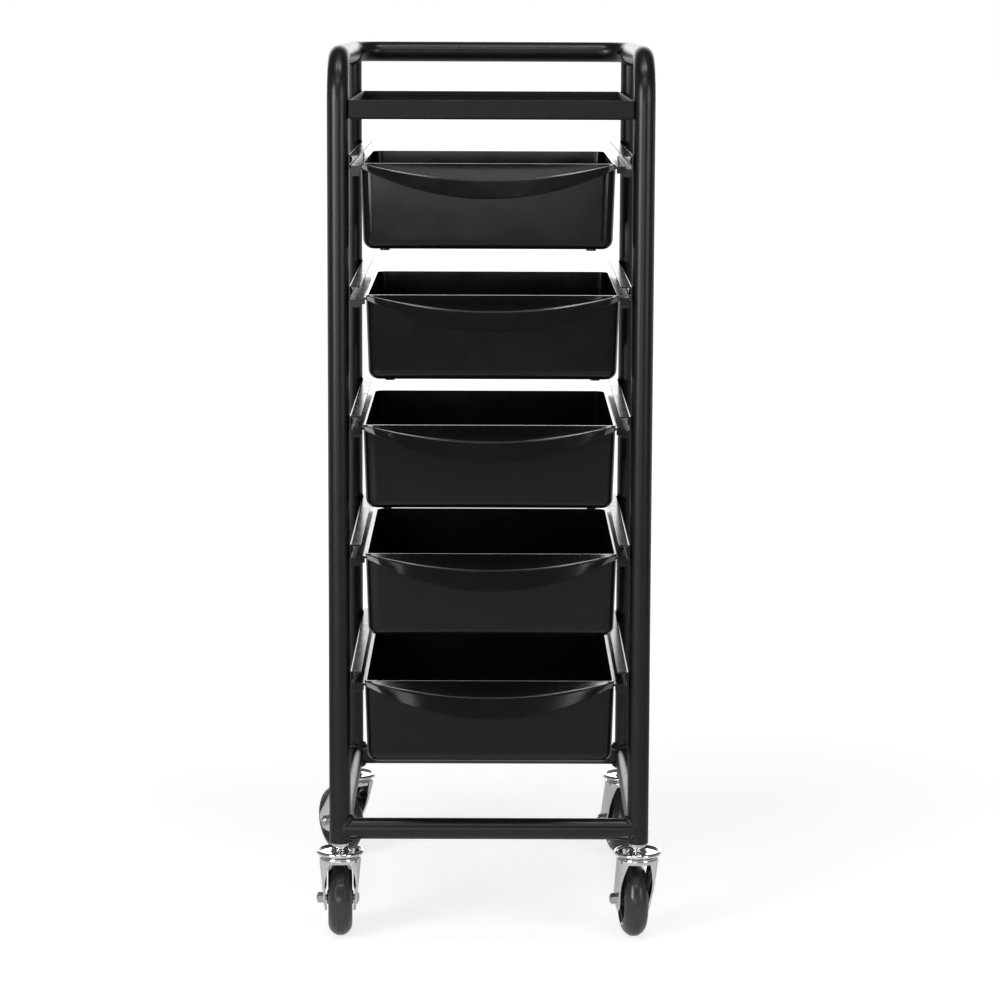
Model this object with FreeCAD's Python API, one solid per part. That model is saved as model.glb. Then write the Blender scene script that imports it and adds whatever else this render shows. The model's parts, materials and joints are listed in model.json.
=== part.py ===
import FreeCAD, Part
import math
import os
from FreeCAD import Rotation, Vector

# Rolling salon trolley.  Units are millimetres, +Z is up, +X is to the right seen from the front
# and the drawers open towards -Y.  The origin is on the floor, midway between the four uprights.

# ---- frame -------------------------------------------------------------------------------------
TUBE_R = 11.0                # outside radius of the frame tube
TUBE_BORE_R = 9.5            # inside radius of the frame tube
UPRIGHT_X = 154.0            # upright centre lines, left and right of the middle
UPRIGHT_Y = 165.0            # upright centre lines, in front of and behind the middle
UPRIGHT_FOOT_Z = 107.0       # cut-off lower ends of the uprights
TOP_BAR_Z = 914.0            # centre line of the hand rail
SHOULDER_R = 45.0            # bend from a front upright into the hand rail
REAR_BAR_Y = 203.0           # centre line of the rail's rear crossbar
REAR_BEND_R = 36.0           # bend from a side rail into the crossbar
BOTTOM_BAR_Z = 121.6
SPARE_HOLE_R = 2.4           # unused fixing holes in the rear uprights
SPARE_HOLE_RISE = 47.0       # above the top of the rail below
TOP_SPARE_HOLE_Z = 882.5

# ---- tray --------------------------------------------------------------------------------------
TRAY_HALF_X = 142.8
TRAY_HALF_Y = 171.0
TRAY_BOTTOM_Z = 852.0
TRAY_HEIGHT = 19.2
TRAY_SHEET = 1.5
TRAY_BEND_R = 2.4
TRAY_HEM_WIDTH = 2.6         # doubled-over top edge
TRAY_HEM_HEIGHT = 5.0
TRAY_EDGE_R = 0.6            # fold of the hem
TRAY_SCREW_Z = 861.0

# ---- drawers -----------------------------------------------------------------------------------
DRAWER_COUNT = 5
DRAWER_PITCH = 132.2
TOP_RIM_Z = 808.4            # front rim of the uppermost drawer
DRAWER_FRONT_Y = -176.0
DRAWER_LENGTH = 304.0
DRAWER_HALF_X = 128.4        # half width of the bin under its rim
DRAWER_DEPTH = 86.5
DRAWER_WALL = 2.2
DRAWER_FLOOR = 2.4
DRAWER_DRAFT = 2.7           # how far each wall leans in from rim to floor
DRAWER_CORNER_R = 13.0
DRAWER_BOTTOM_R = 10.0
DRAWER_SIDEPLAY = (-2.8, 2.2, -0.7, 1.4, 0.2)   # where each loose drawer sits in its runners
RIM_DROP = 1.2               # side and rear rims below the front rim
FLANGE_HALF_X = 137.8        # runner flanges of a drawer
FLANGE_TOP = -2.55           # relative to the front rim
FLANGE_T = 2.5
FLANGE_CORNER_R = 4.0
REAR_FLANGE = 4.0
EAR_DROP = 4.5               # stop ears in front of the runners
EAR_T = 2.5
EAR_WIDTH = 9.0
FOOT_R = 5.0
FOOT_H = 2.5
FOOT_X = 104.5
FOOT_INSET_Y = 27.0

# ---- pull lip along each drawer's front rim ----------------------------------------------------
LIP_HALF_X = 126.5
LIP_ROOT = 0.6               # overlap with the front rim
# How far forward of the rim and how far below it the lip reaches, in its middle and at its ends.
LIP_CREASE = ((18.0, 14.5), (0.8, 1.2))      # where the sloping top bends into the band
LIP_EDGE = ((32.0, 32.5), (1.2, 5.0))        # lower edge of the band
LIP_CREASE_BACK = (1.75, 1.5)   # from the crease to its inner side, rearwards and down
LIP_EDGE_BACK = (2.0, 1.15)     # from the lower edge to its inner side
LIP_ROOT_T = 2.4                # height of the lip where it leaves the rim
LIP_BEND = (3.0, 0.4)           # straight length given up to the bend each side of the crease
LIP_BEND_STEPS = 4

# ---- runners -----------------------------------------------------------------------------------
RAIL_TOP_RISE = 8.7          # top of a runner above the front rim of its drawer
RAIL_SHEET = 1.5
RAIL_DEPTH = 11.3
RAIL_CLEAR_HEIGHT = 12.4     # between its two flanges
RAIL_HALF_Y = 172.0
RAIL_TAB_DROP = 8.0          # turned-down tab at the front end
RAIL_TAB_CORNER_R = 1.5
RAIL_BEND_R = 1.8
RAIL_SCREW_DROP = 5.6        # screw centre below the top of the runner

# ---- screws ------------------------------------------------------------------------------------
SCREW_R = 2.0
SCREW_HOLE_R = 2.1
SCREW_HEAD_R = 3.5
SCREW_HEAD_H = 2.0
SCREW_LENGTH = 9.0
SCREW_SOCKET_R = 1.3
SCREW_SOCKET_DEPTH = 1.1

# ---- casters -----------------------------------------------------------------------------------
# name, side, end, swivel angle at rest (0 trails straight back, positive turns the wheel left)
CASTERS = (
    ("front_left", -1, -1, 3.0),
    ("front_right", 1, -1, 6.0),
    ("rear_left", -1, 1, 32.0),
    ("rear_right", 1, 1, 9.0),
)
TRAIL = 30.0
WHEEL_R = 39.5
WHEEL_HALF_W = 12.7
WHEEL_BAND_HALF_W = 4.5      # raised centre band of the tread
TREAD_STEP = 0.5
TYRE_INNER_R = 26.0
CORE_HALF_W = 10.5
CORE_RIM_R = 21.0
CORE_WEB_HALF_W = 3.0
CORE_BOSS_R = 7.5
CORE_BOSS_HALF_W = 13.8
SEAT_GAP = 0.05              # between parts that sit in one another
AXLE_R = 3.0
AXLE_HEAD_R = 6.5
AXLE_HEAD_H = 2.6
AXLE_END_X = 24.6
AXLE_HEAD_EDGE = 0.8         # straight edge under the bolt head's dome
AXLE_PAD_R = 7.6             # flat pressed round the axle hole of each leg
AXLE_PAD_RISE = 0.3
NUT_FLATS = 10.0
NUT_LENGTH = 6.4
NUT_NOSE = 1.2               # tapered end of the nut
FORK_ARCH_Z = 88.0           # lower edge of the fork's skirt
FORK_TOP_Z = 93.8
FORK_HALF_W = 21.5
FORK_PLATE_T = 2.5
FORK_WALL = 2.2
FORK_LOW_Z = 26.0            # section at which the leg loft ends
FORK_LOW_HALF_W = 16.0
FORK_LOW_HALF_L = 29.0
FORK_CORNER_R = 20.5         # corners of the fork's level sections, at the skirt and at the low end
FORK_LOW_CORNER_R = 3.0
FORK_LEG_END_R = 13.5
FORK_LEG_HEEL = 6.0          # how far behind the axle the leg's rear lobe is centred
FORK_LEG_FRONT_Y = -16.5     # leg edges where they leave the skirt
FORK_LEG_REAR_Y = 14.0
FORK_EDGE_R = 3.0
KINGPIN_R = 4.0
KINGPIN_HEAD_R = 6.5
KINGPIN_HEAD_H = 2.6
KINGPIN_SEAT_DEPTH = 2.0     # into the swivel plate
KINGPIN_SLACK = 0.2          # between the peened head and the crown
RUNNING_GAP = 0.08           # radial clearance of a turning fit
RACE_R = 13.0
BALL_R = 2.0
BALL_COUNT = 16
BALL_Z = 94.6
HEAD_UNDER_Z = 95.4
HEAD_FLOOR_Z = 97.6
HEAD_RIM_R = 22.3            # centre of the rolled rim
HEAD_RIM_Z = 97.3
HEAD_RIM_T = 2.2             # radius of the roll
COLLAR_R = 8.8
COLLAR_FOOT = 2.0            # slope where the collar meets the dished floor
STEM_R = 5.0
STEM_TOP_Z = 136.0
SOCKET_TOP_Z = 138.0

# ---- directions --------------------------------------------------------------------------------
X = Vector(1, 0, 0)
Y = Vector(0, 1, 0)
Z = Vector(0, 0, 1)


def rod(radius, start, direction, length):
    """A solid round bar."""
    return Part.makeCylinder(radius, length, start, direction)


def block(low, high):
    """A box between two corners."""
    size = high - low
    return Part.makeBox(size.x, size.y, size.z, low)


def prism(points, direction):
    """A flat outline pushed along a direction."""
    return Part.Face(Part.makePolygon(points + points[:1])).extrude(direction)


def spun(profile_edges, axis):
    """A solid of revolution from a closed profile beside an axis through the origin."""
    return Part.Face(Part.Wire(profile_edges)).revolve(Vector(), axis, 360)


def line(a, b):
    return Part.LineSegment(a, b).toShape()


def arc(a, middle, b):
    return Part.Arc(a, middle, b).toShape()


def cap_arc(base, out, along, rim_r, height):
    """Arc of a spherical cap, from its rim to its crown on the axis."""
    sphere_r = (rim_r ** 2 + height ** 2) / (2 * height)
    centre = base + along * (height - sphere_r)
    half = math.asin(rim_r / sphere_r) / 2
    middle = centre + out * (sphere_r * math.sin(half)) + along * (sphere_r * math.cos(half))
    return arc(base + out * rim_r, middle, base + along * height)


def polyline(points):
    """Straight edges through a list of points."""
    return [line(a, b) for a, b in zip(points, points[1:])]


def rounded_outline(half_x, front_y, rear_y, radius, z):
    """A closed rectangle in a level plane with rounded corners."""
    corners = ((1, front_y, 1), (1, rear_y, -1), (-1, rear_y, -1), (-1, front_y, 1))
    edges = []
    ends = []
    for side, y, inward in corners:
        centre = Vector(side * (half_x - radius), y + inward * radius, z)
        flank = centre + X * (side * radius)
        front = centre - Y * (inward * radius)
        middle = centre + Vector(side, -inward, 0).normalize() * radius
        first, last = (front, flank) if side * inward > 0 else (flank, front)
        edges.append(arc(first, middle, last))
        ends.append((first, last))
    joined = []
    for index, edge in enumerate(edges):
        joined.append(edge)
        joined.append(line(ends[index][1], ends[(index + 1) % len(ends)][0]))
    return Part.Wire(joined)


def loft(lower, upper):
    """A straight-sided solid between two outlines."""
    return Part.makeLoft([lower, upper], True, True)


def edges_at_height(shape, z):
    """The edges that lie wholly in one level plane."""
    flat = 0.001
    return [e for e in shape.Edges if abs(e.BoundBox.ZMin - z) < flat and abs(e.BoundBox.ZMax - z) < flat]


# ---- frame -------------------------------------------------------------------------------------
def loop_path():
    """Centre line of the bent tube: up a front upright, back, across the rear and down again."""
    side = UPRIGHT_X
    shoulder = Vector(-side, -UPRIGHT_Y + SHOULDER_R, TOP_BAR_Z - SHOULDER_R)
    rear = Vector(-side + REAR_BEND_R, REAR_BAR_Y - REAR_BEND_R, TOP_BAR_Z)
    half = math.sqrt(0.5)
    points = [
        Vector(-side, -UPRIGHT_Y, UPRIGHT_FOOT_Z),
        shoulder - Y * SHOULDER_R,
        shoulder + Vector(0, -half, half) * SHOULDER_R,
        shoulder + Z * SHOULDER_R,
        rear - X * REAR_BEND_R,
        rear + Vector(-half, half, 0) * REAR_BEND_R,
        rear + Y * REAR_BEND_R,
    ]
    other = [Vector(-p.x, p.y, p.z) for p in points]
    return Part.Wire([
        line(points[0], points[1]),
        arc(points[1], points[2], points[3]),
        line(points[3], points[4]),
        arc(points[4], points[5], points[6]),
        line(points[6], other[6]),
        arc(other[6], other[5], other[4]),
        line(other[4], other[3]),
        arc(other[3], other[2], other[1]),
        line(other[1], other[0]),
    ])


def swept(radius):
    """A round bar along the loop's centre line."""
    start = Vector(-UPRIGHT_X, -UPRIGHT_Y, UPRIGHT_FOOT_Z)
    section = Part.Wire(Part.makeCircle(radius, start, Z))
    return loop_path().makePipeShell([section], True, False)


def rail_tops():
    """Height of the top of each pair of runners, from the uppermost down."""
    return [TOP_RIM_Z - i * DRAWER_PITCH + RAIL_TOP_RISE for i in range(DRAWER_COUNT)]


def screw_places():
    """Height of every screw row and the inboard face it passes through."""
    rows = [(top - RAIL_SCREW_DROP, RAIL_SHEET) for top in rail_tops()]
    rows.append((TRAY_SCREW_Z, TRAY_SHEET + UPRIGHT_X - TUBE_R - TRAY_HALF_X))
    return rows


def screw_holes(y):
    """Cutters for the screw holes in the inboard wall of both uprights at one end."""
    reach = 8.0
    cutters = []
    for side in (-1, 1):
        for z, _ in screw_places():
            start = Vector(side * (UPRIGHT_X - TUBE_R - reach / 2), y, z)
            cutters.append(rod(SCREW_HOLE_R, start, X * side, reach))
    return cutters


def spare_holes():
    """Cutters for the unused fixing holes of the rear uprights."""
    reach = 8.0
    heights = [top + SPARE_HOLE_RISE for top in rail_tops()[1:]] + [TOP_SPARE_HOLE_Z]
    cutters = []
    for side in (-1, 1):
        for z in heights:
            start = Vector(side * (UPRIGHT_X - TUBE_R - reach / 2), UPRIGHT_Y, z)
            cutters.append(rod(SPARE_HOLE_R, start, X * side, reach))
    return cutters


def frame_loop():
    tube = swept(TUBE_R).cut(swept(TUBE_BORE_R))
    return tube.cut(screw_holes(-UPRIGHT_Y))


def rear_upright(side):
    """A rear upright, notched at the top to sit under the hand rail."""
    foot = Vector(side * UPRIGHT_X, UPRIGHT_Y, UPRIGHT_FOOT_Z)
    height = TOP_BAR_Z - UPRIGHT_FOOT_Z
    post = rod(TUBE_R, foot, Z, height).cut(rod(TUBE_BORE_R, foot, Z, height))
    post = post.cut(swept(TUBE_R))
    return post.cut(screw_holes(UPRIGHT_Y) + spare_holes())


def upright_cutters():
    """Full-round copies of the four uprights, for notching the bars between them."""
    height = TOP_BAR_Z - UPRIGHT_FOOT_Z
    posts = []
    for side in (-1, 1):
        for end in (-1, 1):
            foot = Vector(side * UPRIGHT_X, end * UPRIGHT_Y, UPRIGHT_FOOT_Z)
            posts.append(rod(TUBE_R, foot, Z, height))
    return posts


def cross_bar(end):
    """The bottom bar across the front or the rear."""
    start = Vector(-UPRIGHT_X, end * UPRIGHT_Y, BOTTOM_BAR_Z)
    bar = rod(TUBE_R, start, X, 2 * UPRIGHT_X).cut(rod(TUBE_BORE_R, start, X, 2 * UPRIGHT_X))
    return bar.cut(upright_cutters())


def side_bar(side):
    """The bottom bar along one side, also notched round the cross bars."""
    start = Vector(side * UPRIGHT_X, -UPRIGHT_Y, BOTTOM_BAR_Z)
    bar = rod(TUBE_R, start, Y, 2 * UPRIGHT_Y).cut(rod(TUBE_BORE_R, start, Y, 2 * UPRIGHT_Y))
    crossing = [
        rod(TUBE_R, Vector(-UPRIGHT_X, end * UPRIGHT_Y, BOTTOM_BAR_Z), X, 2 * UPRIGHT_X)
        for end in (-1, 1)
    ]
    return bar.cut(upright_cutters() + crossing)


def caster_sockets():
    """Threaded plugs pressed into the lower ends of the uprights."""
    plugs = []
    length = SOCKET_TOP_Z - UPRIGHT_FOOT_Z
    for _, side, end, _ in CASTERS:
        foot = Vector(side * UPRIGHT_X, end * UPRIGHT_Y, UPRIGHT_FOOT_Z)
        plug = rod(TUBE_BORE_R - SEAT_GAP, foot, Z, length)
        plugs.append(plug.cut(rod(STEM_R + SEAT_GAP, foot, Z, length)))
    return Part.makeCompound(plugs)


# ---- tray --------------------------------------------------------------------------------------
def top_tray():
    """Shallow folded tray with a doubled top edge."""
    top = TRAY_BOTTOM_Z + TRAY_HEIGHT
    low = Vector(-TRAY_HALF_X, -TRAY_HALF_Y, TRAY_BOTTOM_Z)
    shell = block(low, Vector(TRAY_HALF_X, TRAY_HALF_Y, top))
    shell = shell.makeFillet(TRAY_BEND_R, edges_at_height(shell, TRAY_BOTTOM_Z))
    wall = Vector(TRAY_SHEET, TRAY_SHEET, TRAY_SHEET)
    inner = block(low + wall, Vector(TRAY_HALF_X, TRAY_HALF_Y, top) - Vector(TRAY_SHEET, TRAY_SHEET, 0))
    inner = inner.makeFillet(TRAY_BEND_R - TRAY_SHEET, edges_at_height(inner, TRAY_BOTTOM_Z + TRAY_SHEET))
    shell = shell.cut(inner)
    hem_low = Vector(-TRAY_HALF_X, -TRAY_HALF_Y, top - TRAY_HEM_HEIGHT)
    hem = block(hem_low, Vector(TRAY_HALF_X, TRAY_HALF_Y, top))
    opening = Vector(TRAY_HALF_X - TRAY_HEM_WIDTH, TRAY_HALF_Y - TRAY_HEM_WIDTH, top)
    hem = hem.cut(block(Vector(-opening.x, -opening.y, hem_low.z), opening))
    tray = shell.fuse(hem).removeSplitter()
    tray = tray.makeFillet(TRAY_EDGE_R, edges_at_height(tray, top))
    reach = 8.0
    cutters = []
    for side in (-1, 1):
        for end in (-1, 1):
            start = Vector(side * (TRAY_HALF_X - reach / 2), end * UPRIGHT_Y, TRAY_SCREW_Z)
            cutters.append(rod(SCREW_HOLE_R, start, X * side, reach))
    return tray.cut(cutters)


# ---- screws ------------------------------------------------------------------------------------
def screw():
    """Button-head socket screw, shank along +X, head seat at the origin."""
    shoulder = 0.7
    top = Vector(-SCREW_HEAD_H, 0, 0)
    rim = Vector(-shoulder, SCREW_HEAD_R, 0)
    middle = Vector(-SCREW_HEAD_H * 0.86, SCREW_HEAD_R * 0.6, 0)
    chamfer = 0.5
    profile = [arc(top, middle, rim)]
    profile += polyline([
        rim,
        Vector(0, SCREW_HEAD_R, 0),
        Vector(0, SCREW_R, 0),
        Vector(SCREW_LENGTH - chamfer, SCREW_R, 0),
        Vector(SCREW_LENGTH, SCREW_R - chamfer, 0),
        Vector(SCREW_LENGTH, 0, 0),
        top,
    ])
    body = spun(profile, X)
    corners = [
        Vector(-2 * SCREW_HEAD_H, SCREW_SOCKET_R * math.cos(a), SCREW_SOCKET_R * math.sin(a))
        for a in [math.radians(60 * i) for i in range(6)]
    ]
    return body.cut(prism(corners, X * (SCREW_HEAD_H + SCREW_SOCKET_DEPTH)))


def screws_at(rows):
    """One screw through each upright's inboard wall for every row given."""
    pieces = []
    for z, sheet in rows:
        for side in (-1, 1):
            for end in (-1, 1):
                piece = screw()
                if side < 0:
                    piece.rotate(Vector(), Z, 180)
                seat = UPRIGHT_X - TUBE_R - sheet
                piece.translate(Vector(side * seat, end * UPRIGHT_Y, z))
                pieces.append(piece)
    return Part.makeCompound(pieces)


# ---- runners -----------------------------------------------------------------------------------
def runner(top, side):
    """C-section runner, open towards the drawer, with a turned-down tab at its front end."""
    outer = UPRIGHT_X - TUBE_R
    inner = outer - RAIL_DEPTH
    web = outer - RAIL_SHEET
    under = top - RAIL_SHEET - RAIL_CLEAR_HEIGHT
    bottom = under - RAIL_SHEET
    front = -RAIL_HALF_Y
    outline = [
        Vector(inner, front, top),
        Vector(outer, front, top),
        Vector(outer, front, bottom),
        Vector(inner, front, bottom),
        Vector(inner, front, under),
        Vector(web, front, under),
        Vector(web, front, top - RAIL_SHEET),
        Vector(inner, front, top - RAIL_SHEET),
    ]
    section = prism(outline, Y * (2 * RAIL_HALF_Y))
    bends = [
        e for e in section.Edges
        if abs(e.BoundBox.XMin - outer) < 0.01 and e.BoundBox.YLength > RAIL_HALF_Y
    ]
    section = section.makeFillet(RAIL_BEND_R, bends)
    tab = block(
        Vector(inner, front, under - RAIL_TAB_DROP),
        Vector(web, front + RAIL_SHEET, under - RAIL_SHEET / 2),
    )
    tab_foot = [e for e in edges_at_height(tab, under - RAIL_TAB_DROP) if e.BoundBox.XLength < 0.01]
    tab = tab.makeFillet(RAIL_TAB_CORNER_R, tab_foot)
    shape = section.fuse(tab).removeSplitter()
    reach = 8.0
    holes = [
        rod(SCREW_HOLE_R, Vector(web - reach / 2, end * UPRIGHT_Y, top - RAIL_SCREW_DROP), X, reach)
        for end in (-1, 1)
    ]
    shape = shape.cut(holes)
    return shape if side > 0 else shape.mirror(Vector(), X)


# ---- drawers -----------------------------------------------------------------------------------
def bin_shape(inset, floor, top):
    """Tapered tub with rounded corners, set in from the drawer's outside by an inset."""
    front = DRAWER_FRONT_Y + inset
    rear = DRAWER_FRONT_Y + DRAWER_LENGTH - inset
    half = DRAWER_HALF_X - inset
    radius = DRAWER_CORNER_R - inset

    def outline(z):
        lean = DRAWER_DRAFT * -z / DRAWER_DEPTH
        return rounded_outline(half - lean, front + lean, rear - lean, radius, z)

    tub = loft(outline(floor), outline(top))
    return tub.makeFillet(DRAWER_BOTTOM_R - inset, edges_at_height(tub, floor))


def lip_curve(places, rearwards=0.0, down=0.0):
    """Curve across the whole lip, bowed forward and down between its two ends."""
    (reach, drop), (tip_reach, tip_drop) = places
    tip_y = DRAWER_FRONT_Y - tip_reach + rearwards
    tip_z = -tip_drop - down
    bowed = Vector(0, tip_y - 2 * (reach - tip_reach), tip_z - 2 * (drop - tip_drop))
    curve = Part.BezierCurve()
    curve.setPoles([Vector(-LIP_HALF_X, tip_y, tip_z), bowed, Vector(LIP_HALF_X, tip_y, tip_z)])
    return curve.toShape()


def lip_bend():
    """Middle and end places of the curves that round the crease off."""
    bends = []
    for crease, edge, give in zip(LIP_CREASE, LIP_EDGE, LIP_BEND):
        corner = Vector(*crease, 0)
        start = corner * (1 - give / corner.Length)
        end = corner + (Vector(*edge, 0) - corner).normalize() * give
        steps = [i / LIP_BEND_STEPS for i in range(LIP_BEND_STEPS + 1)]
        points = [start * (1 - t) ** 2 + corner * (2 * t * (1 - t)) + end * t ** 2 for t in steps]
        bends.append([(point.x, point.y) for point in points])
    return list(zip(*bends))


def pull_lip():
    """Smile-shaped pull: a sloping top that bends into a leaning band, with finger room behind it."""
    root_y = DRAWER_FRONT_Y + LIP_ROOT
    curves = [
        line(Vector(-LIP_HALF_X, root_y, 0), Vector(LIP_HALF_X, root_y, 0)),
        line(Vector(-LIP_HALF_X, DRAWER_FRONT_Y, 0), Vector(LIP_HALF_X, DRAWER_FRONT_Y, 0)),
        *[lip_curve(places) for places in lip_bend()],
        lip_curve(LIP_EDGE),
        lip_curve(LIP_EDGE, *LIP_EDGE_BACK),
        lip_curve(LIP_CREASE, *LIP_CREASE_BACK),
        line(Vector(-LIP_HALF_X, root_y, -LIP_ROOT_T), Vector(LIP_HALF_X, root_y, -LIP_ROOT_T)),
    ]
    faces = [Part.makeRuledSurface(a, b) for a, b in zip(curves, curves[1:] + curves[:1])]
    for end in (0, -1):
        corners = [curve.Vertexes[end].Point for curve in curves]
        faces.append(Part.Face(Part.makePolygon(corners + corners[:1])))
    shell = Part.Shell(faces)
    shell.sewShape()
    return Part.Solid(shell)


def drawer():
    """One moulded drawer, with the middle of its front rim at height 0."""
    rear = DRAWER_FRONT_Y + DRAWER_LENGTH
    flange_outline = rounded_outline(
        FLANGE_HALF_X, DRAWER_FRONT_Y, rear + REAR_FLANGE, FLANGE_CORNER_R, FLANGE_TOP - FLANGE_T
    )
    flange = Part.Face(flange_outline).extrude(Z * FLANGE_T)
    outside = bin_shape(0, -DRAWER_DEPTH, -RIM_DROP)
    front_rim = block(
        Vector(-LIP_HALF_X, DRAWER_FRONT_Y, FLANGE_TOP - FLANGE_T),
        Vector(LIP_HALF_X, DRAWER_FRONT_Y + DRAWER_WALL, 0),
    )
    pieces = [flange, front_rim, pull_lip()]
    for side in (-1, 1):
        outer = side * FLANGE_HALF_X
        inner = side * (FLANGE_HALF_X - EAR_WIDTH)
        bottom = FLANGE_TOP - FLANGE_T - EAR_DROP
        pieces.append(block(
            Vector(min(outer, inner), DRAWER_FRONT_Y, bottom),
            Vector(max(outer, inner), DRAWER_FRONT_Y + EAR_T, FLANGE_TOP - FLANGE_T / 2),
        ))
        for y in (DRAWER_FRONT_Y + FOOT_INSET_Y, rear - FOOT_INSET_Y):
            foot = Vector(side * FOOT_X, y, -DRAWER_DEPTH - FOOT_H)
            pieces.append(rod(FOOT_R, foot, Z, FOOT_H + DRAWER_FLOOR / 2))
    above_rim = 2.0
    inside = bin_shape(DRAWER_WALL, -DRAWER_DEPTH + DRAWER_FLOOR, above_rim)
    return outside.fuse(pieces).cut(inside).removeSplitter()


# ---- casters: each is built trailing straight back, with its swivel axis on the Z axis ---------
def tangent_point(outside, centre, radius, turn):
    """Where a line from an outside point touches a circle, both in the YZ plane."""
    gap = outside - centre
    distance = gap.Length
    swing = math.degrees(math.acos(radius / distance))
    towards = gap * (radius / distance)
    return centre + Rotation(X, turn * swing).multVec(towards)


def fork_section(z):
    """Half width, half length, corner radius and middle of the fork at one height."""
    share = (FORK_ARCH_Z - z) / (FORK_ARCH_Z - FORK_LOW_Z)
    lean = TRAIL * (FORK_ARCH_Z - z) / (FORK_ARCH_Z - WHEEL_R)
    half_w = FORK_HALF_W + (FORK_LOW_HALF_W - FORK_HALF_W) * share
    half_l = FORK_HALF_W + (FORK_LOW_HALF_L - FORK_HALF_W) * share
    corner = FORK_CORNER_R + (FORK_LOW_CORNER_R - FORK_CORNER_R) * share
    return half_w, half_l, corner, lean


def fork_outline(z, inset, at_z):
    half_w, half_l, corner, middle = fork_section(z)
    return rounded_outline(
        half_w - inset, middle - half_l + inset, middle + half_l - inset, corner - inset, at_z
    )


def leg_face_x():
    """Outside of a fork leg beside the axle."""
    return fork_section(WHEEL_R)[0]


def leg_seat_x():
    """Flat on a fork leg that the axle's head and nut bear on."""
    return leg_face_x() + AXLE_PAD_RISE


def fork():
    """Drawn fork: a domed crown with a short skirt, and two cupped legs down to the axle."""
    skirt_height = FORK_TOP_Z - FORK_ARCH_Z
    crown = Part.Face(fork_outline(FORK_ARCH_Z, 0, FORK_ARCH_Z)).extrude(Z * skirt_height)
    crown = crown.makeFillet(FORK_EDGE_R, edges_at_height(crown, FORK_TOP_Z))
    hollow_height = skirt_height - FORK_PLATE_T
    hollow = Part.Face(fork_outline(FORK_ARCH_Z, FORK_WALL, FORK_ARCH_Z)).extrude(Z * hollow_height)
    crown = crown.cut(hollow)
    outer = loft(fork_outline(FORK_LOW_Z, 0, FORK_LOW_Z), fork_outline(FORK_ARCH_Z, 0, FORK_ARCH_Z))
    inner = loft(
        fork_outline(FORK_LOW_Z, FORK_WALL, FORK_LOW_Z),
        fork_outline(FORK_ARCH_Z, FORK_WALL, FORK_ARCH_Z),
    )
    axle = Vector(0, TRAIL, WHEEL_R)
    heel = axle + Y * FORK_LEG_HEEL
    front = Vector(0, FORK_LEG_FRONT_Y, FORK_ARCH_Z)
    rear = Vector(0, FORK_LEG_REAR_Y, FORK_ARCH_Z)
    across = X * (4 * FORK_HALF_W)
    side_view = prism([
        front,
        rear,
        tangent_point(rear, heel, FORK_LEG_END_R, -1),
        heel,
        heel - Z * FORK_LEG_END_R,
        axle - Z * FORK_LEG_END_R,
        axle,
        tangent_point(front, axle, FORK_LEG_END_R, 1),
    ], across)
    side_view = side_view.fuse([rod(FORK_LEG_END_R, place, X, across.x) for place in (axle, heel)])
    side_view.translate(across * -0.5)
    legs = outer.cut(inner).common(side_view)
    pads = []
    spot_faces = []
    for side in (-1, 1):
        sunk = axle + X * (side * (leg_face_x() - FORK_WALL / 2))
        seat = axle + X * (side * leg_seat_x())
        pads.append(rod(AXLE_PAD_R, sunk, X * side, leg_seat_x() - leg_face_x() + FORK_WALL / 2))
        spot_faces.append(rod(AXLE_PAD_R, seat, X * side, FORK_HALF_W))
    shape = crown.fuse([legs] + pads).removeSplitter()
    shape = shape.cut(spot_faces + [
        rod(KINGPIN_R + RUNNING_GAP, Vector(0, 0, FORK_ARCH_Z), Z, 2 * skirt_height),
        rod(AXLE_R + SEAT_GAP, axle - X * (2 * FORK_HALF_W), X, 4 * FORK_HALF_W),
        Part.makeTorus(RACE_R, BALL_R + RUNNING_GAP, Vector(0, 0, BALL_Z), Z),
    ])
    return shape


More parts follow.
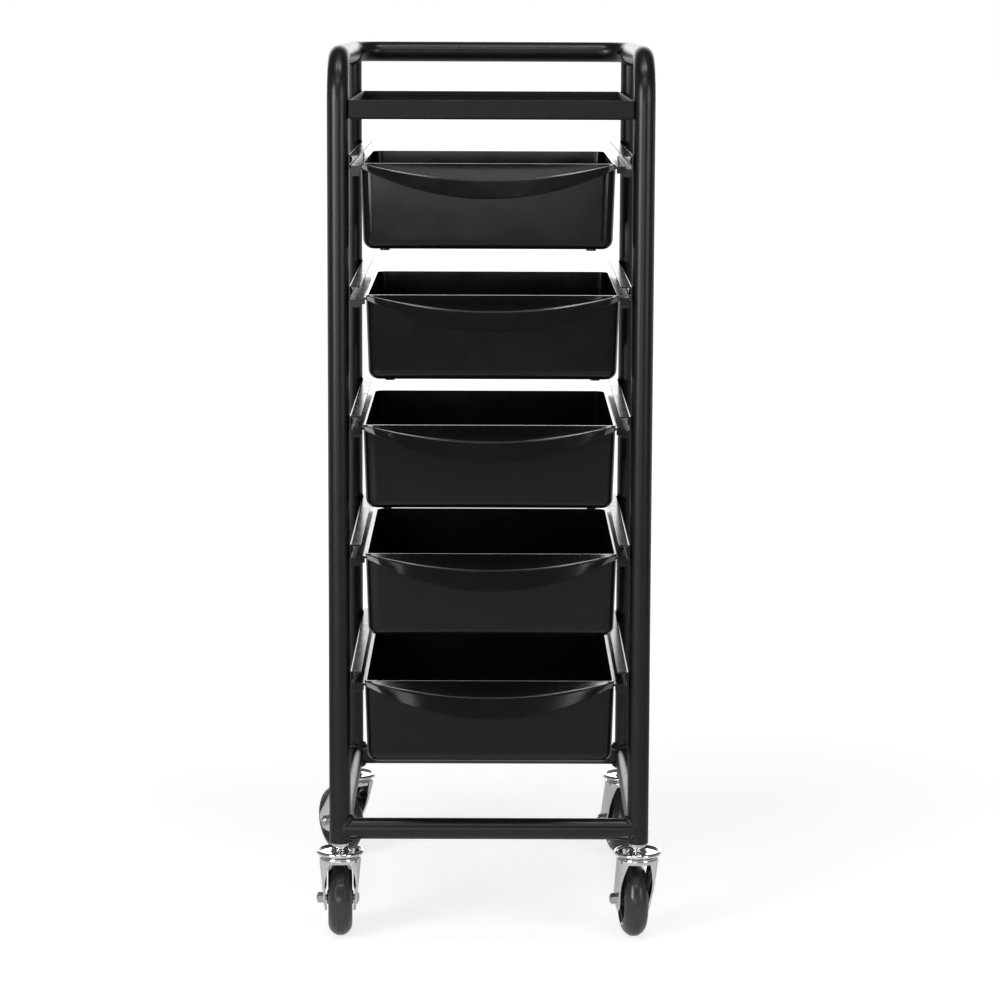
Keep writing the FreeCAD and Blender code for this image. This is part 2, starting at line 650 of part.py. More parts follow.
def caster_head():
    """Threaded stem, collar and dished swivel plate with a rolled rim."""
    roll_in = HEAD_RIM_R - HEAD_RIM_T
    under_r = HEAD_RIM_R - 1.0
    chamfer = 0.8
    rim_foot = Vector(under_r, 0, HEAD_UNDER_Z)
    rim_out = Vector(HEAD_RIM_R + HEAD_RIM_T, 0, HEAD_RIM_Z)
    rim_top = Vector(HEAD_RIM_R, 0, HEAD_RIM_Z + HEAD_RIM_T)
    half = math.sqrt(0.5) * HEAD_RIM_T
    outer_low = Vector(HEAD_RIM_R + half, 0, HEAD_RIM_Z - half)
    outer_high = Vector(HEAD_RIM_R + half, 0, HEAD_RIM_Z + half)
    inner_high = Vector(HEAD_RIM_R - half, 0, HEAD_RIM_Z + half)
    roll_end = Vector(roll_in, 0, HEAD_FLOOR_Z)
    profile = polyline([Vector(0, 0, HEAD_UNDER_Z), rim_foot])
    profile.append(arc(rim_foot, outer_low, rim_out))
    profile.append(arc(rim_out, outer_high, rim_top))
    profile.append(arc(rim_top, inner_high, roll_end))
    profile += polyline([
        roll_end,
        Vector(COLLAR_R + COLLAR_FOOT, 0, HEAD_FLOOR_Z),
        Vector(COLLAR_R, 0, HEAD_FLOOR_Z + COLLAR_FOOT),
        Vector(COLLAR_R, 0, UPRIGHT_FOOT_Z),
        Vector(STEM_R, 0, UPRIGHT_FOOT_Z),
        Vector(STEM_R, 0, STEM_TOP_Z - chamfer),
        Vector(STEM_R - chamfer, 0, STEM_TOP_Z),
        Vector(0, 0, STEM_TOP_Z),
        Vector(0, 0, HEAD_UNDER_Z),
    ])
    head = spun(profile, Z)
    race = Part.makeTorus(RACE_R, BALL_R + RUNNING_GAP, Vector(0, 0, BALL_Z), Z)
    below = 1.0
    pin_seat = rod(KINGPIN_R + SEAT_GAP, Vector(0, 0, HEAD_UNDER_Z - below), Z, below + KINGPIN_SEAT_DEPTH)
    return head.cut([race, pin_seat])


def kingpin():
    """Rivet that the fork turns on, peened over under the crown."""
    plate_under = FORK_TOP_Z - FORK_PLATE_T
    head_top = plate_under - KINGPIN_SLACK
    pin_top = HEAD_UNDER_Z + KINGPIN_SEAT_DEPTH
    profile = polyline([
        Vector(0, 0, pin_top),
        Vector(KINGPIN_R, 0, pin_top),
        Vector(KINGPIN_R, 0, head_top),
        Vector(KINGPIN_HEAD_R, 0, head_top),
    ])
    profile.append(cap_arc(Vector(0, 0, head_top), X, -Z, KINGPIN_HEAD_R, KINGPIN_HEAD_H))
    profile.append(line(Vector(0, 0, head_top - KINGPIN_HEAD_H), Vector(0, 0, pin_top)))
    return spun(profile, Z)


def bearing_balls():
    """Ring of loose balls between the swivel plate and the fork's crown."""
    balls = []
    for index in range(BALL_COUNT):
        angle = 2 * math.pi * index / BALL_COUNT
        centre = Vector(RACE_R * math.cos(angle), RACE_R * math.sin(angle), BALL_Z)
        balls.append(Part.makeSphere(BALL_R, centre))
    return balls


def axle_bolt():
    """Axle bolt with its domed head on the right-hand leg."""
    seat = leg_seat_x()
    end = Vector(-AXLE_END_X, 0, 0)
    chamfer = 0.7
    profile = polyline([
        end,
        end + Y * (AXLE_R - chamfer),
        end + Vector(chamfer, AXLE_R, 0),
        Vector(seat, AXLE_R, 0),
        Vector(seat, AXLE_HEAD_R, 0),
        Vector(seat + AXLE_HEAD_EDGE, AXLE_HEAD_R, 0),
    ])
    dome_foot = Vector(seat + AXLE_HEAD_EDGE, 0, 0)
    profile.append(cap_arc(dome_foot, Y, X, AXLE_HEAD_R, AXLE_HEAD_H - AXLE_HEAD_EDGE))
    profile.append(line(Vector(seat + AXLE_HEAD_H, 0, 0), end))
    bolt = spun(profile, X)
    bolt.translate(Vector(0, TRAIL, WHEEL_R))
    return bolt


def axle_nut():
    """Locking nut on the left-hand leg."""
    seat = -leg_seat_x()
    corner_r = NUT_FLATS / math.sqrt(3)
    corners = [
        Vector(seat, corner_r * math.cos(a), corner_r * math.sin(a))
        for a in [math.radians(60 * i + 30) for i in range(6)]
    ]
    nut = prism(corners, X * -NUT_LENGTH)
    nose_foot = Vector(seat - NUT_LENGTH + NUT_NOSE, 0, 0)
    nose_r = NUT_FLATS / 2 - NUT_NOSE / 2
    turned = rod(corner_r, Vector(seat, 0, 0), -X, NUT_LENGTH - NUT_NOSE)
    turned = turned.fuse(Part.makeCone(corner_r, nose_r, NUT_NOSE, nose_foot, -X))
    nut = nut.common(turned)
    nut = nut.cut(rod(AXLE_R + SEAT_GAP, Vector(seat, 0, 0), -X, NUT_LENGTH))
    nut.translate(Vector(0, TRAIL, WHEEL_R))
    return nut


def wheel_core():
    """Plastic wheel centre: a thin web between the rim and the boss."""
    rim_r = TYRE_INNER_R - SEAT_GAP
    slope = 1.0
    right = [
        Vector(CORE_BOSS_HALF_W, AXLE_R + RUNNING_GAP, 0),
        Vector(CORE_BOSS_HALF_W, CORE_BOSS_R - slope, 0),
        Vector(CORE_BOSS_HALF_W - slope, CORE_BOSS_R, 0),
        Vector(CORE_WEB_HALF_W, CORE_BOSS_R + 2 * slope, 0),
        Vector(CORE_WEB_HALF_W, CORE_RIM_R - slope, 0),
        Vector(CORE_HALF_W, CORE_RIM_R, 0),
        Vector(CORE_HALF_W, rim_r, 0),
    ]
    left = [Vector(-p.x, p.y, 0) for p in reversed(right)]
    outline = right + left
    core = spun(polyline(outline + outline[:1]), X)
    core.translate(Vector(0, TRAIL, WHEEL_R))
    return core


def tyre():
    """Rubber tyre with a rounded, pointed tread and a raised centre band."""
    depth = WHEEL_R - TYRE_INNER_R

    def half_width(radius):
        return WHEEL_HALF_W * math.sqrt(1 - ((radius - TYRE_INNER_R) / depth) ** 2)

    shoulder_r = TYRE_INNER_R + 1.6
    band_r = TYRE_INNER_R + depth * math.sqrt(1 - (WHEEL_BAND_HALF_W / WHEEL_HALF_W) ** 2)
    middle_r = (shoulder_r + band_r) / 2 + 1.0
    band_edge = WHEEL_BAND_HALF_W - 0.4
    inner = Vector(CORE_HALF_W, TYRE_INNER_R, 0)
    shoulder = Vector(half_width(shoulder_r), shoulder_r, 0)
    flank = Vector(half_width(middle_r), middle_r, 0)
    band_foot = Vector(WHEEL_BAND_HALF_W, band_r, 0)
    band_side = Vector(band_edge, band_r + TREAD_STEP, 0)

    def other(point):
        return Vector(-point.x, point.y, 0)

    crown = Vector(0, WHEEL_R, 0)
    profile = [
        line(inner, shoulder),
        arc(shoulder, flank, band_foot),
        line(band_foot, band_side),
        arc(band_side, crown, other(band_side)),
        line(other(band_side), other(band_foot)),
        arc(other(band_foot), other(flank), other(shoulder)),
        line(other(shoulder), other(inner)),
        line(other(inner), inner),
    ]
    ring = spun(profile, X)
    ring.translate(Vector(0, TRAIL, WHEEL_R))
    return ring


def placed(shape, side, end, angle):
    """A caster piece turned to its rest angle and moved under its upright."""
    copy = shape.copy()
    copy.rotate(Vector(), Z, angle)
    copy.translate(Vector(side * UPRIGHT_X, end * UPRIGHT_Y, 0))
    return copy


# ---- all nodes ---------------------------------------------------------------------------------
def build():
    nodes = {
        "frame_loop": frame_loop(),
        "rear_left_upright": rear_upright(-1),
        "rear_right_upright": rear_upright(1),
        "front_bottom_bar": cross_bar(-1),
        "rear_bottom_bar": cross_bar(1),
        "left_bottom_bar": side_bar(-1),
        "right_bottom_bar": side_bar(1),
        "caster_sockets": caster_sockets(),
        "top_tray": top_tray(),
    }
    rows = screw_places()
    nodes["runner_screws"] = screws_at(rows[:-1])
    nodes["tray_screws"] = screws_at(rows[-1:])
    moulding = drawer()
    for index, top in enumerate(rail_tops()):
        number = index + 1
        nodes[f"left_runner_{number}"] = runner(top, -1)
        nodes[f"right_runner_{number}"] = runner(top, 1)
        box = moulding.copy()
        box.translate(Vector(DRAWER_SIDEPLAY[index], 0, top - RAIL_TOP_RISE))
        nodes[f"drawer_{number}"] = box
    parts = {
        "swivel_plate": caster_head(),
        "fork": fork(),
        "axle_bolt": axle_bolt(),
        "axle_nut": axle_nut(),
        "wheel_core": wheel_core(),
        "tyre": tyre(),
    }
    balls = bearing_balls()
    pin = kingpin()
    pins = []
    for name, side, end, angle in CASTERS:
        for piece, shape in parts.items():
            nodes[f"{name}_{piece}"] = placed(shape, side, end, angle)
        ring = [placed(ball, side, end, angle) for ball in balls]
        nodes[f"{name}_bearing_balls"] = Part.makeCompound(ring)
        pins.append(placed(pin, side, end, angle))
    nodes["kingpins"] = Part.makeCompound(pins)
    return nodes


def main():
    os.makedirs("parts", exist_ok=True)
    for name, shape in build().items():
        solids = shape.Solids
        sound = all(s.isValid() and s.Volume > 0 for s in solids)
        print(f"{name}: {len(solids)} solid(s), {shape.Volume:.1f} mm3, {'sound' if sound else 'UNSOUND'}")
        shape.exportStep(f"parts/{name}.step")


main()
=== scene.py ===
import json
import math

import bmesh
import bpy
from mathutils import Matrix, Vector


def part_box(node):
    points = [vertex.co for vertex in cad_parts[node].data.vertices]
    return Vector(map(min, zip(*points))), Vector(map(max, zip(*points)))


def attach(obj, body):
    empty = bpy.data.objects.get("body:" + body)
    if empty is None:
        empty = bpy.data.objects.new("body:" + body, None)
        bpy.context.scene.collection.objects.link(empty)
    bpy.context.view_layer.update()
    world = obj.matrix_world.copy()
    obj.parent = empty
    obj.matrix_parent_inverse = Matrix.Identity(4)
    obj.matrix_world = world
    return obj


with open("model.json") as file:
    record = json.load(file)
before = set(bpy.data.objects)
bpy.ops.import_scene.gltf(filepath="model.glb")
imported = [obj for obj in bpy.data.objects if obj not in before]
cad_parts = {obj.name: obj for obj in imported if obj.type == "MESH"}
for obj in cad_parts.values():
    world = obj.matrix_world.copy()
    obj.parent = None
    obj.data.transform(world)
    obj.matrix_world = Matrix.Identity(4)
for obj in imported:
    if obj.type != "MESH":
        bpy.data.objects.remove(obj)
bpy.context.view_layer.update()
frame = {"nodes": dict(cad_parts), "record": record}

# Looks of the rolling salon trolley.  Units are metres, +Z is up, the drawers open towards -Y.
nodes = frame["nodes"]

# ---- camera ------------------------------------------------------------------------------------
CAMERA_AWAY = 3.2            # in front of the front uprights
CAMERA_HEIGHT = 0.967
CAMERA_PITCH = 8.0           # degrees down
CAMERA_YAW = 0.18            # degrees to the right
CAMERA_ROLL = 0.21           # degrees, its right side raised
CAMERA_LENS = 114.3          # millimetres
CAMERA_SENSOR = 36.0         # millimetres
CAMERA_SHIFT_Y = -0.05
CAMERA_CLIP = (0.05, 200.0)

# ---- studio ------------------------------------------------------------------------------------
BACKDROP = 1.0               # the white that the camera sees round the trolley
SURROUND_FRONT = 0.34        # what the trolley's surfaces reflect: a dim room
SURROUND_SIDE = 0.24
SURROUND_BACK = 2.4          # with the lit backdrop behind it
SURROUND_OVERHEAD = 0.35     # share of that brightness left high up
# The surround changes over these stretches of a direction's Y, -1 in front and 1 behind, or its Z.
FRONT_TO_SIDE_Y = (-0.85, -0.35)
SIDE_TO_BACK_Y = (0.78, 0.93)
LEVEL_TO_OVERHEAD_Z = (0.10, 0.60)
FLOOR_HALF = 40.0
FLOOR_GREY = (0.53, 0.55)    # the mottled floor's reflectance
# The camera sees the floor glow by the first near the trolley, where its shadows show, and by the
# second far off.  The trolley sees only the floor behind it, under it and round its casters glow.
FLOOR_GLOW = (0.75, 1.0)
FLOOR_GLOW_REACH = (0.5, 1.9)
FLOOR_BEHIND = 0.6
FLOOR_BEHIND_REACH = (0.5, 1.4)
FLOOR_NEAR = 0.28
FLOOR_NEAR_REACH = (0.40, 0.80)

# Lights turned towards the trolley.  Azimuth is in degrees, 0 in front and positive to the right.
# name, azimuth, distance, height, width, length, radiance, height aimed at
SOFTBOXES = (
    ("left_softbox", -40.0, 2.6, 1.22, 0.95, 1.6, 7.5, 0.8),
    ("right_softbox", 42.0, 2.6, 1.22, 1.00, 1.6, 2.6, 0.8),
    ("front_panel", -10.5, 6.1, 0.80, 2.9, 1.5, 2.0, 0.8),
    ("front_softbox", 0.0, 2.2, 2.9, 1.8, 0.6, 2.5, 0.6),
)

# Lights hung level overhead, which pick out the drawers' pull lips.
# name, x, y, width, depth, radiance
PANEL_HEIGHT = 2.75
OVERHEAD_PANELS = (
    ("left_panel", -0.42, -0.54, 0.42, 0.34, 12.0),
    ("right_panel", 0.42, -0.54, 0.42, 0.34, 16.0),
    ("middle_panel", 0.0, -0.16, 0.40, 1.10, 1.2),
)

# ---- sizes read from the frame -----------------------------------------------------------------
bar_low, bar_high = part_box("front_bottom_bar")
post_low, post_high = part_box("rear_right_upright")
TUBE_R = (bar_high.z - bar_low.z) / 2
UPRIGHT_X = (post_low.x + post_high.x) / 2
UPRIGHT_Y = (post_low.y + post_high.y) / 2
BAR_Z = (bar_low.z + bar_high.z) / 2
RAIL_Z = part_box("frame_loop")[1].z - TUBE_R

# ---- weld beads --------------------------------------------------------------------------------
BEAD_R = 0.0032              # radius of the bead, which follows the seam between two tubes
BEAD_START = 14.0            # degrees from where the two tubes run flush
BEAD_STEPS = 96
BEAD_SIDES = 10
BEAD_RIPPLE = 0.05           # how much the bead's radius ripples, as a share of it
BEAD_RIPPLES = 24
BEAD_TIP = 0.05              # the bead tapers to this share of its radius

# ---- worn edges --------------------------------------------------------------------------------
EDGE_COSINE = (0.90, 0.995)  # between the true and the rounded normal: fully an edge, and not one
WORN_NOISE = (0.50, 0.62)    # noise values between which an edge goes from whole to worn


# ---- node helpers ------------------------------------------------------------------------------
class Painter:
    """Builds one procedural material."""

    def __init__(self, name, **values):
        self.material = bpy.data.materials.new(name)
        self.material.use_nodes = True
        self.tree = self.material.node_tree
        self.shader = self.tree.nodes["Principled BSDF"]
        self.coords = self.tree.nodes.new("ShaderNodeTexCoord").outputs["Object"]
        for socket, value in values.items():
            self.shader.inputs[socket.replace("_", " ")].default_value = value

    def node(self, kind, **settings):
        made = self.tree.nodes.new(kind)
        for key, value in settings.items():
            setattr(made, key, value)
        return made

    def link(self, source, target):
        self.tree.links.new(source, target)

    def stretched(self, scale):
        mapping = self.node("ShaderNodeMapping")
        mapping.inputs["Scale"].default_value = scale
        self.link(self.coords, mapping.inputs["Vector"])
        return mapping.outputs["Vector"]

    def noise(self, scale, detail=3.0, roughness=0.55, coords=None):
        made = self.node("ShaderNodeTexNoise")
        made.inputs["Scale"].default_value = scale
        made.inputs["Detail"].default_value = detail
        made.inputs["Roughness"].default_value = roughness
        self.link(coords or self.coords, made.inputs["Vector"])
        return made.outputs["Fac"]

    def ranged(self, value, low, high, from_low=0.3, from_high=0.7):
        made = self.node("ShaderNodeMapRange")
        made.inputs["From Min"].default_value = from_low
        made.inputs["From Max"].default_value = from_high
        made.inputs["To Min"].default_value = low
        made.inputs["To Max"].default_value = high
        self.link(value, made.inputs["Value"])
        return made.outputs["Result"]

    def maths(self, operation, a, b):
        made = self.node("ShaderNodeMath", operation=operation)
        self.link(a, made.inputs[0])
        self.link(b, made.inputs[1])
        return made.outputs["Value"]

    def blended(self, factor, first, second):
        """A mix of two colours, each a tuple or a socket.  The node keeps them at inputs 6 and 7."""
        made = self.node("ShaderNodeMix", data_type="RGBA")
        self.link(factor, made.inputs["Factor"])
        for socket, value in zip(made.inputs[6:8], (first, second)):
            if isinstance(value, tuple):
                socket.default_value = (*value, 1.0)
            else:
                self.link(value, socket)
        return made.outputs[2]

    def rounded_normal(self, radius):
        """The surface's direction with its sharp edges rounded off."""
        made = self.node("ShaderNodeBevel", samples=4)
        made.inputs["Radius"].default_value = radius
        return made.outputs["Normal"]

    def edge_wear(self, radius, patchiness=260.0):
        """1 on worn stretches of sharp edges, 0 on open faces."""
        true_normal = self.node("ShaderNodeNewGeometry").outputs["Normal"]
        dot = self.node("ShaderNodeVectorMath", operation="DOT_PRODUCT")
        self.link(true_normal, dot.inputs[0])
        self.link(self.rounded_normal(radius), dot.inputs[1])
        edge = self.ranged(dot.outputs["Value"], 1.0, 0.0, *EDGE_COSINE)
        patches = self.ranged(self.noise(patchiness), 0.0, 1.0, *WORN_NOISE)
        return self.maths("MULTIPLY", edge, patches)

    def bumped(self, height, distance, strength, normal):
        made = self.node("ShaderNodeBump")
        made.inputs["Distance"].default_value = distance
        made.inputs["Strength"].default_value = strength
        self.link(height, made.inputs["Height"])
        self.link(normal, made.inputs["Normal"])
        return made.outputs["Normal"]

    def finish(self, color, roughness, normal=None):
        self.link(color, self.shader.inputs["Base Color"])
        self.link(roughness, self.shader.inputs["Roughness"])
        if normal is not None:
            self.link(normal, self.shader.inputs["Normal"])
        return self.material


# ---- materials, one for each slot --------------------------------------------------------------
def powder_coat():
    """Satin black powder coat with a faint orange peel."""
    paint = Painter("frame_powder_coat", IOR=1.5)
    worn = paint.edge_wear(0.0008)
    coat = paint.blended(paint.noise(7.0), (0.0045, 0.0045, 0.005), (0.0075, 0.0072, 0.0078))
    color = paint.blended(worn, coat, (0.022, 0.022, 0.023))
    rough = paint.ranged(paint.noise(55.0, detail=5.0), 0.27, 0.33)
    smooth = paint.rounded_normal(0.0006)
    peel = paint.bumped(paint.noise(900.0, detail=2.0), 0.00002, strength=0.5, normal=smooth)
    return paint.finish(color, rough, peel)


def textured_coat():
    """Fine-textured powder coat of the folded tray."""
    paint = Painter("tray_powder_coat", IOR=1.40)
    color = paint.blended(paint.noise(11.0), (0.0036, 0.0036, 0.0039), (0.0056, 0.0054, 0.0058))
    rough = paint.ranged(paint.noise(70.0, detail=5.0), 0.40, 0.50)
    grain = paint.noise(2300.0, roughness=0.6)
    smooth = paint.rounded_normal(0.0006)
    return paint.finish(color, rough, paint.bumped(grain, 0.00006, strength=0.6, normal=smooth))


def gloss_enamel():
    """Gloss black enamel on the pressed runners."""
    paint = Painter("runner_gloss_black", IOR=1.5)
    worn = paint.edge_wear(0.0007)
    color = paint.blended(worn, (0.006, 0.006, 0.007), (0.04, 0.04, 0.04))
    rough = paint.ranged(paint.noise(90.0, detail=5.0), 0.16, 0.26)
    along_runner = paint.stretched((6.0, 0.35, 6.0))
    slides = paint.noise(60.0, detail=4.0, roughness=0.5, coords=along_runner)
    smooth = paint.rounded_normal(0.0006)
    return paint.finish(color, rough, paint.bumped(slides, 0.00002, strength=0.35, normal=smooth))


def moulded_drawer():
    """Polished black injection moulding, slightly wavy, with faint rub marks."""
    paint = Painter("drawer_plastic", IOR=1.45)
    color = paint.blended(paint.noise(9.0), (0.0042, 0.0042, 0.0046), (0.0075, 0.0072, 0.0080))
    smudges = paint.ranged(paint.noise(22.0, detail=6.0, roughness=0.6), 0.05, 0.13)
    along_travel = paint.stretched((5.0, 0.25, 3.0))
    rubs = paint.ranged(paint.noise(190.0, roughness=0.5, coords=along_travel), 0.0, 0.05)
    smooth = paint.rounded_normal(0.0004)
    sink = paint.bumped(paint.noise(13.0, detail=1.5), 0.0016, strength=0.10, normal=smooth)
    fine = paint.bumped(paint.noise(420.0, detail=2.0), 0.00001, strength=0.4, normal=sink)
    return paint.finish(color, paint.maths("ADD", smudges, rubs), fine)


def chrome():
    """Bright chrome plate over pressed steel."""
    paint = Painter("caster_chrome", Metallic=1.0)
    color = paint.blended(paint.noise(40.0), (0.80, 0.80, 0.82), (0.90, 0.90, 0.91))
    rough = paint.ranged(paint.noise(120.0, detail=4.0), 0.04, 0.10)
    smooth = paint.rounded_normal(0.0005)
    pressed = paint.bumped(paint.noise(130.0, detail=2.0), 0.00008, strength=0.25, normal=smooth)
    return paint.finish(color, rough, pressed)


def zinc(name="zinc_steel"):
    """Bright zinc plate with fine turning marks."""
    paint = Painter(name, Metallic=1.0)
    color = paint.blended(paint.noise(150.0), (0.46, 0.46, 0.48), (0.64, 0.64, 0.65))
    rough = paint.ranged(paint.noise(300.0, detail=4.0), 0.20, 0.36)
    turned = paint.noise(900.0, roughness=0.5, coords=paint.stretched((0.4, 1.0, 3.0)))
    smooth = paint.rounded_normal(0.0004)
    return paint.finish(color, rough, paint.bumped(turned, 0.00003, strength=0.4, normal=smooth))


def black_oxide():
    """Black oxide screws, bright where the key has turned them."""
    paint = Painter("black_screw", Metallic=0.6)
    worn = paint.edge_wear(0.0004, patchiness=900.0)
    color = paint.blended(worn, (0.016, 0.016, 0.017), (0.20, 0.20, 0.20))
    rough = paint.ranged(paint.noise(600.0, detail=4.0), 0.30, 0.45)
    return paint.finish(color, rough, paint.rounded_normal(0.0003))


def nylon():
    """Matt moulded wheel centre."""
    paint = Painter("wheel_plastic", IOR=1.5)
    color = paint.blended(paint.noise(60.0), (0.018, 0.018, 0.020), (0.028, 0.028, 0.030))
    rough = paint.ranged(paint.noise(240.0, detail=4.0), 0.42, 0.58)
    smooth = paint.rounded_normal(0.0005)
    grain = paint.bumped(paint.noise(2600.0, detail=2.0), 0.00004, strength=0.5, normal=smooth)
    return paint.finish(color, rough, grain)


def rubber():
    """Smooth dark grey rubber, polished on the tread by rolling."""
    paint = Painter("tyre_rubber", IOR=1.5)
    patches = paint.noise(90.0, detail=4.0)
    color = paint.blended(patches, (0.032, 0.032, 0.035), (0.042, 0.041, 0.045))
    rough = paint.ranged(paint.noise(160.0, detail=5.0), 0.15, 0.22)
    smooth = paint.rounded_normal(0.0004)
    grain = paint.bumped(paint.noise(1500.0), 0.00002, strength=0.4, normal=smooth)
    return paint.finish(color, rough, grain)


materials = {
    "frame_powder_coat": powder_coat(),
    "tray_powder_coat": textured_coat(),
    "runner_gloss_black": gloss_enamel(),
    "drawer_plastic": moulded_drawer(),
    "caster_chrome": chrome(),
    "zinc_steel": zinc(),
    "bearing_steel": zinc("bearing_steel"),
    "black_screw": black_oxide(),
    "wheel_plastic": nylon(),
    "tyre_rubber": rubber(),
}


def dress_cad_nodes():
    """Every CAD node takes the material of its slot."""
    for entry in frame["record"]["subparts"]:
        mesh = nodes[entry["node"]].data
        mesh.materials.clear()
        mesh.materials.append(materials[entry["material_slot"]])


# ---- weld beads --------------------------------------------------------------------------------
def bead_rings(corner, along, post, first, last):
    """Rings of points along the seam where a tube lying along `along` meets an equal `post`."""
    across = along.cross(post)
    rings = []
    for step in range(BEAD_STEPS + 1):
        share = step / BEAD_STEPS
        angle = math.radians(first + (last - first) * share)
        rise = abs(math.sin(angle))
        bar_out = across * math.cos(angle) + post * math.sin(angle)
        post_out = across * math.cos(angle) + along * rise
        point = corner + across * (TUBE_R * math.cos(angle)) + post * (TUBE_R * math.sin(angle))
        point += along * (TUBE_R * rise)
        taper = math.sqrt(max(0.0, math.sin(math.pi * share)))
        radius = BEAD_R * taper * (1 + BEAD_RIPPLE * math.sin(2 * math.pi * BEAD_RIPPLES * share))
        radius = max(radius, BEAD_R * BEAD_TIP)
        out = (bar_out + post_out).normalized()
        slant = math.copysign(1.0, math.sin(angle))
        tangent = (
            across * -math.sin(angle) + post * math.cos(angle) + along * (slant * math.cos(angle))
        ).normalized()
        aside = tangent.cross(out).normalized()
        ring = []
        for side in range(BEAD_SIDES):
            turn = 2 * math.pi * side / BEAD_SIDES
            ring.append(point + out * (radius * math.cos(turn)) + aside * (radius * math.sin(turn)))
        rings.append(ring)
    return rings


def tube_mesh(name, ring_sets):
    """One closed mesh from several runs of rings."""
    mesh = bpy.data.meshes.new(name)
    build = bmesh.new()
    for rings in ring_sets:
        rows = [[build.verts.new(p) for p in ring] for ring in rings]
        for near, far in zip(rows, rows[1:]):
            for i in range(BEAD_SIDES):
                j = (i + 1) % BEAD_SIDES
                build.faces.new((near[i], near[j], far[j], far[i]))
        build.faces.new(reversed(rows[0]))
        build.faces.new(rows[-1])
    bmesh.ops.recalc_face_normals(build, faces=build.faces)
    build.to_mesh(mesh)
    build.free()
    for polygon in mesh.polygons:
        polygon.use_smooth = True
    return mesh


def add_piece(name, mesh, body, slot):
    piece = bpy.data.objects.new(name, mesh)
    bpy.context.scene.collection.objects.link(piece)
    mesh.materials.append(materials[slot])
    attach(piece, body)


def weld_bead(name, corner, along, post):
    """Both halves of the bead round one tube joint."""
    halves = [
        bead_rings(corner, along, post, BEAD_START, 180.0 - BEAD_START),
        bead_rings(corner, along, post, 180.0 + BEAD_START, 360.0 - BEAD_START),
    ]
    add_piece(name, tube_mesh(name, halves), "frame", "frame_powder_coat")


def weld_frame():
    up = Vector((0, 0, 1))
    for end_name, end in (("front", -1), ("rear", 1)):
        for side_name, side in (("left", -1), ("right", 1)):
            corner = Vector((side * UPRIGHT_X, end * UPRIGHT_Y, BAR_Z))
            weld_bead(f"weld_{end_name}_{side_name}_cross", corner, Vector((-side, 0, 0)), up)
            weld_bead(f"weld_{end_name}_{side_name}_side", corner, Vector((0, -end, 0)), up)
    for side_name, side in (("left", -1), ("right", 1)):
        top = Vector((side * UPRIGHT_X, UPRIGHT_Y, RAIL_Z))
        weld_bead(f"weld_rear_{side_name}_rail", top, Vector((0, 0, -1)), Vector((0, 1, 0)))


# ---- stage -------------------------------------------------------------------------------------
def ramp(tree, source, low, high, from_low, from_high):
    """A smooth step of a number between two values."""
    made = tree.nodes.new("ShaderNodeMapRange")
    made.interpolation_type = "SMOOTHSTEP"
    made.inputs["From Min"].default_value = from_low
    made.inputs["From Max"].default_value = from_high
    made.inputs["To Min"].default_value = low
    made.inputs["To Max"].default_value = high
    tree.links.new(source, made.inputs["Value"])
    return made.outputs["Result"]


def by_viewer(tree, for_trolley, for_camera):
    """One number for what the trolley's surfaces see and another for what the camera sees."""
    mix = tree.nodes.new("ShaderNodeMix")        # its factor is input 0, its numbers inputs 2 and 3
    tree.links.new(tree.nodes.new("ShaderNodeLightPath").outputs["Is Camera Ray"], mix.inputs[0])
    tree.links.new(for_trolley, mix.inputs[2])
    if isinstance(for_camera, float):
        mix.inputs[3].default_value = for_camera
    else:
        tree.links.new(for_camera, mix.inputs[3])
    return mix.outputs[0]


def floor():
    """Pale floor that meets the white backdrop, and stays bright where the chrome reflects it."""
    mesh = bpy.data.meshes.new("floor")
    corners = [(x * FLOOR_HALF, y * FLOOR_HALF, 0) for x, y in ((-1, -1), (1, -1), (1, 1), (-1, 1))]
    mesh.from_pydata(corners, [], [(0, 1, 2, 3)])
    plane = bpy.data.objects.new("floor", mesh)
    bpy.context.scene.collection.objects.link(plane)
    paint = Painter("floor_paint", Specular_IOR_Level=0.0)
    darker, lighter = ((grey, grey, grey) for grey in FLOOR_GREY)
    color = paint.blended(paint.noise(0.7), darker, lighter)
    away = paint.node("ShaderNodeVectorMath", operation="LENGTH")
    paint.link(paint.coords, away.inputs[0])
    place = paint.node("ShaderNodeSeparateXYZ")
    paint.link(paint.coords, place.inputs[0])
    glow = ramp(paint.tree, away.outputs["Value"], *FLOOR_GLOW, *FLOOR_GLOW_REACH)
    behind = ramp(paint.tree, place.outputs["Y"], 0.0, FLOOR_BEHIND, *FLOOR_BEHIND_REACH)
    near = ramp(paint.tree, away.outputs["Value"], FLOOR_NEAR, 0.0, *FLOOR_NEAR_REACH)
    strength = by_viewer(paint.tree, paint.maths("MAXIMUM", behind, near), glow)
    paint.shader.inputs["Emission Color"].default_value = (1.0, 1.0, 1.0, 1.0)
    paint.link(strength, paint.shader.inputs["Emission Strength"])
    mesh.materials.append(paint.finish(color, paint.ranged(paint.noise(5.0), 0.85, 0.95)))


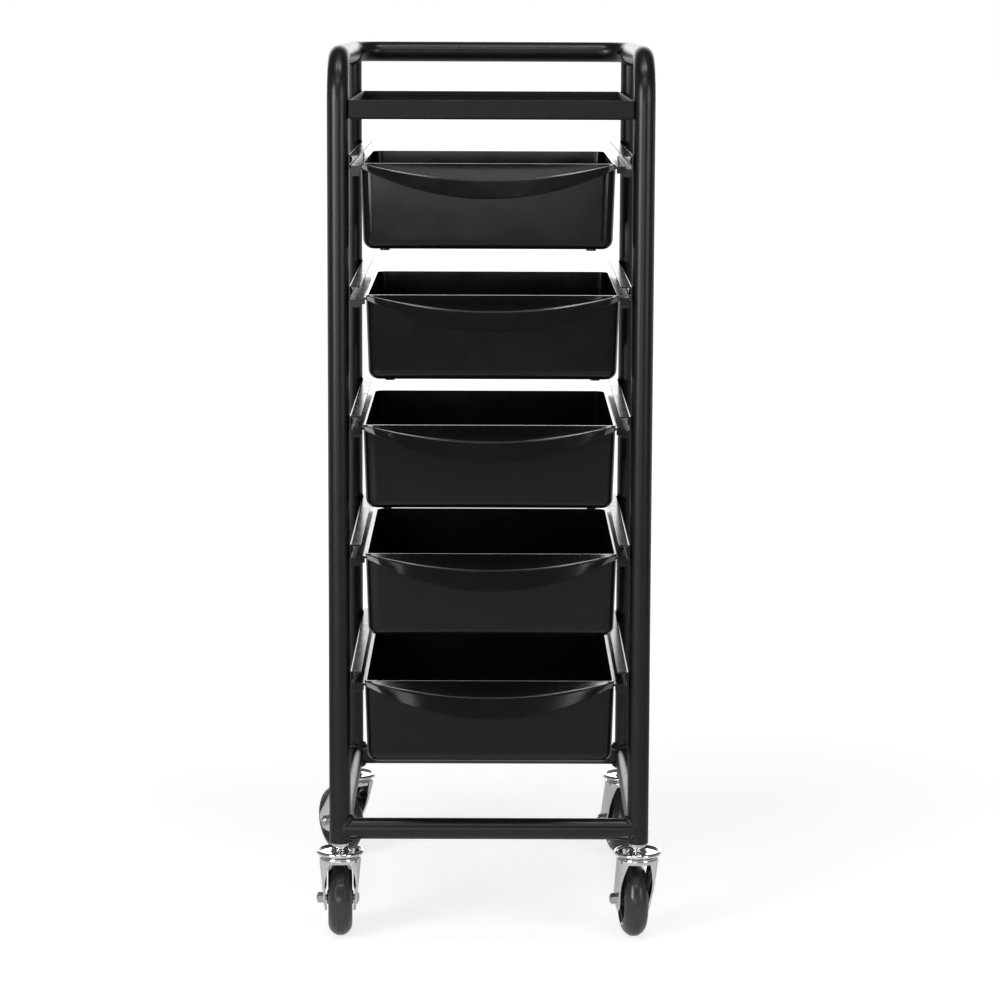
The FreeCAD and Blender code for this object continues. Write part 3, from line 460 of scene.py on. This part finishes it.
def studio_world():
    """A white backdrop for the camera.  The trolley reflects a dim room with a lit back wall."""
    world = bpy.data.worlds.new("studio")
    bpy.context.scene.world = world
    world.use_nodes = True
    tree = world.node_tree
    coords = tree.nodes.new("ShaderNodeTexCoord")
    split = tree.nodes.new("ShaderNodeSeparateXYZ")
    tree.links.new(coords.outputs["Generated"], split.inputs["Vector"])
    room = ramp(tree, split.outputs["Y"], SURROUND_FRONT, SURROUND_SIDE, *FRONT_TO_SIDE_Y)
    wall = ramp(tree, split.outputs["Y"], 0.0, SURROUND_BACK - SURROUND_SIDE, *SIDE_TO_BACK_Y)
    share = ramp(tree, split.outputs["Z"], 1.0, SURROUND_OVERHEAD, *LEVEL_TO_OVERHEAD_Z)
    both = tree.nodes.new("ShaderNodeMath")
    tree.links.new(room, both.inputs[0])
    tree.links.new(wall, both.inputs[1])
    dimmed = tree.nodes.new("ShaderNodeMath")
    dimmed.operation = "MULTIPLY"
    tree.links.new(both.outputs["Value"], dimmed.inputs[0])
    tree.links.new(share, dimmed.inputs[1])
    strength = by_viewer(tree, dimmed.outputs["Value"], BACKDROP)
    tree.links.new(strength, tree.nodes["Background"].inputs["Strength"])
    tree.nodes["Background"].inputs["Color"].default_value = (1.0, 1.0, 1.0, 1.0)


def area_light(name, width, length, radiance):
    data = bpy.data.lights.new(name, "AREA")
    data.shape = "RECTANGLE"
    data.size = width
    data.size_y = length
    data.energy = radiance * math.pi * width * length
    light = bpy.data.objects.new(name, data)
    bpy.context.scene.collection.objects.link(light)
    return light


def studio_lights():
    for name, azimuth, distance, height, width, length, radiance, aim_height in SOFTBOXES:
        light = area_light(name, width, length, radiance)
        angle = math.radians(azimuth)
        light.location = (math.sin(angle) * distance, -math.cos(angle) * distance, height)
        towards = Vector((0, 0, aim_height)) - light.location
        light.rotation_euler = towards.to_track_quat("-Z", "Y").to_euler()
    for name, x, y, width, depth, radiance in OVERHEAD_PANELS:
        area_light(name, width, depth, radiance).location = (x, y, PANEL_HEIGHT)


def camera():
    pitch = math.radians(CAMERA_PITCH)
    yaw = math.radians(CAMERA_YAW)
    roll = math.radians(CAMERA_ROLL)
    level = math.cos(pitch)
    forward = Vector((math.sin(yaw) * level, math.cos(yaw) * level, -math.sin(pitch)))
    level_right = forward.cross(Vector((0, 0, 1))).normalized()
    level_up = level_right.cross(forward)
    right = level_right * math.cos(roll) + level_up * math.sin(roll)
    up = level_up * math.cos(roll) - level_right * math.sin(roll)
    data = bpy.data.cameras.new("camera")
    data.lens = CAMERA_LENS
    data.sensor_width = CAMERA_SENSOR
    data.shift_y = CAMERA_SHIFT_Y
    data.clip_start, data.clip_end = CAMERA_CLIP
    eye = bpy.data.objects.new("camera", data)
    turn = Matrix((right, up, -forward)).transposed().to_4x4()
    eye.matrix_world = Matrix.Translation((0, -UPRIGHT_Y - CAMERA_AWAY, CAMERA_HEIGHT)) @ turn
    bpy.context.scene.collection.objects.link(eye)
    bpy.context.scene.camera = eye


dress_cad_nodes()
weld_frame()
floor()
studio_world()
studio_lights()
camera()
bpy.context.scene.view_settings.view_transform = "Standard"
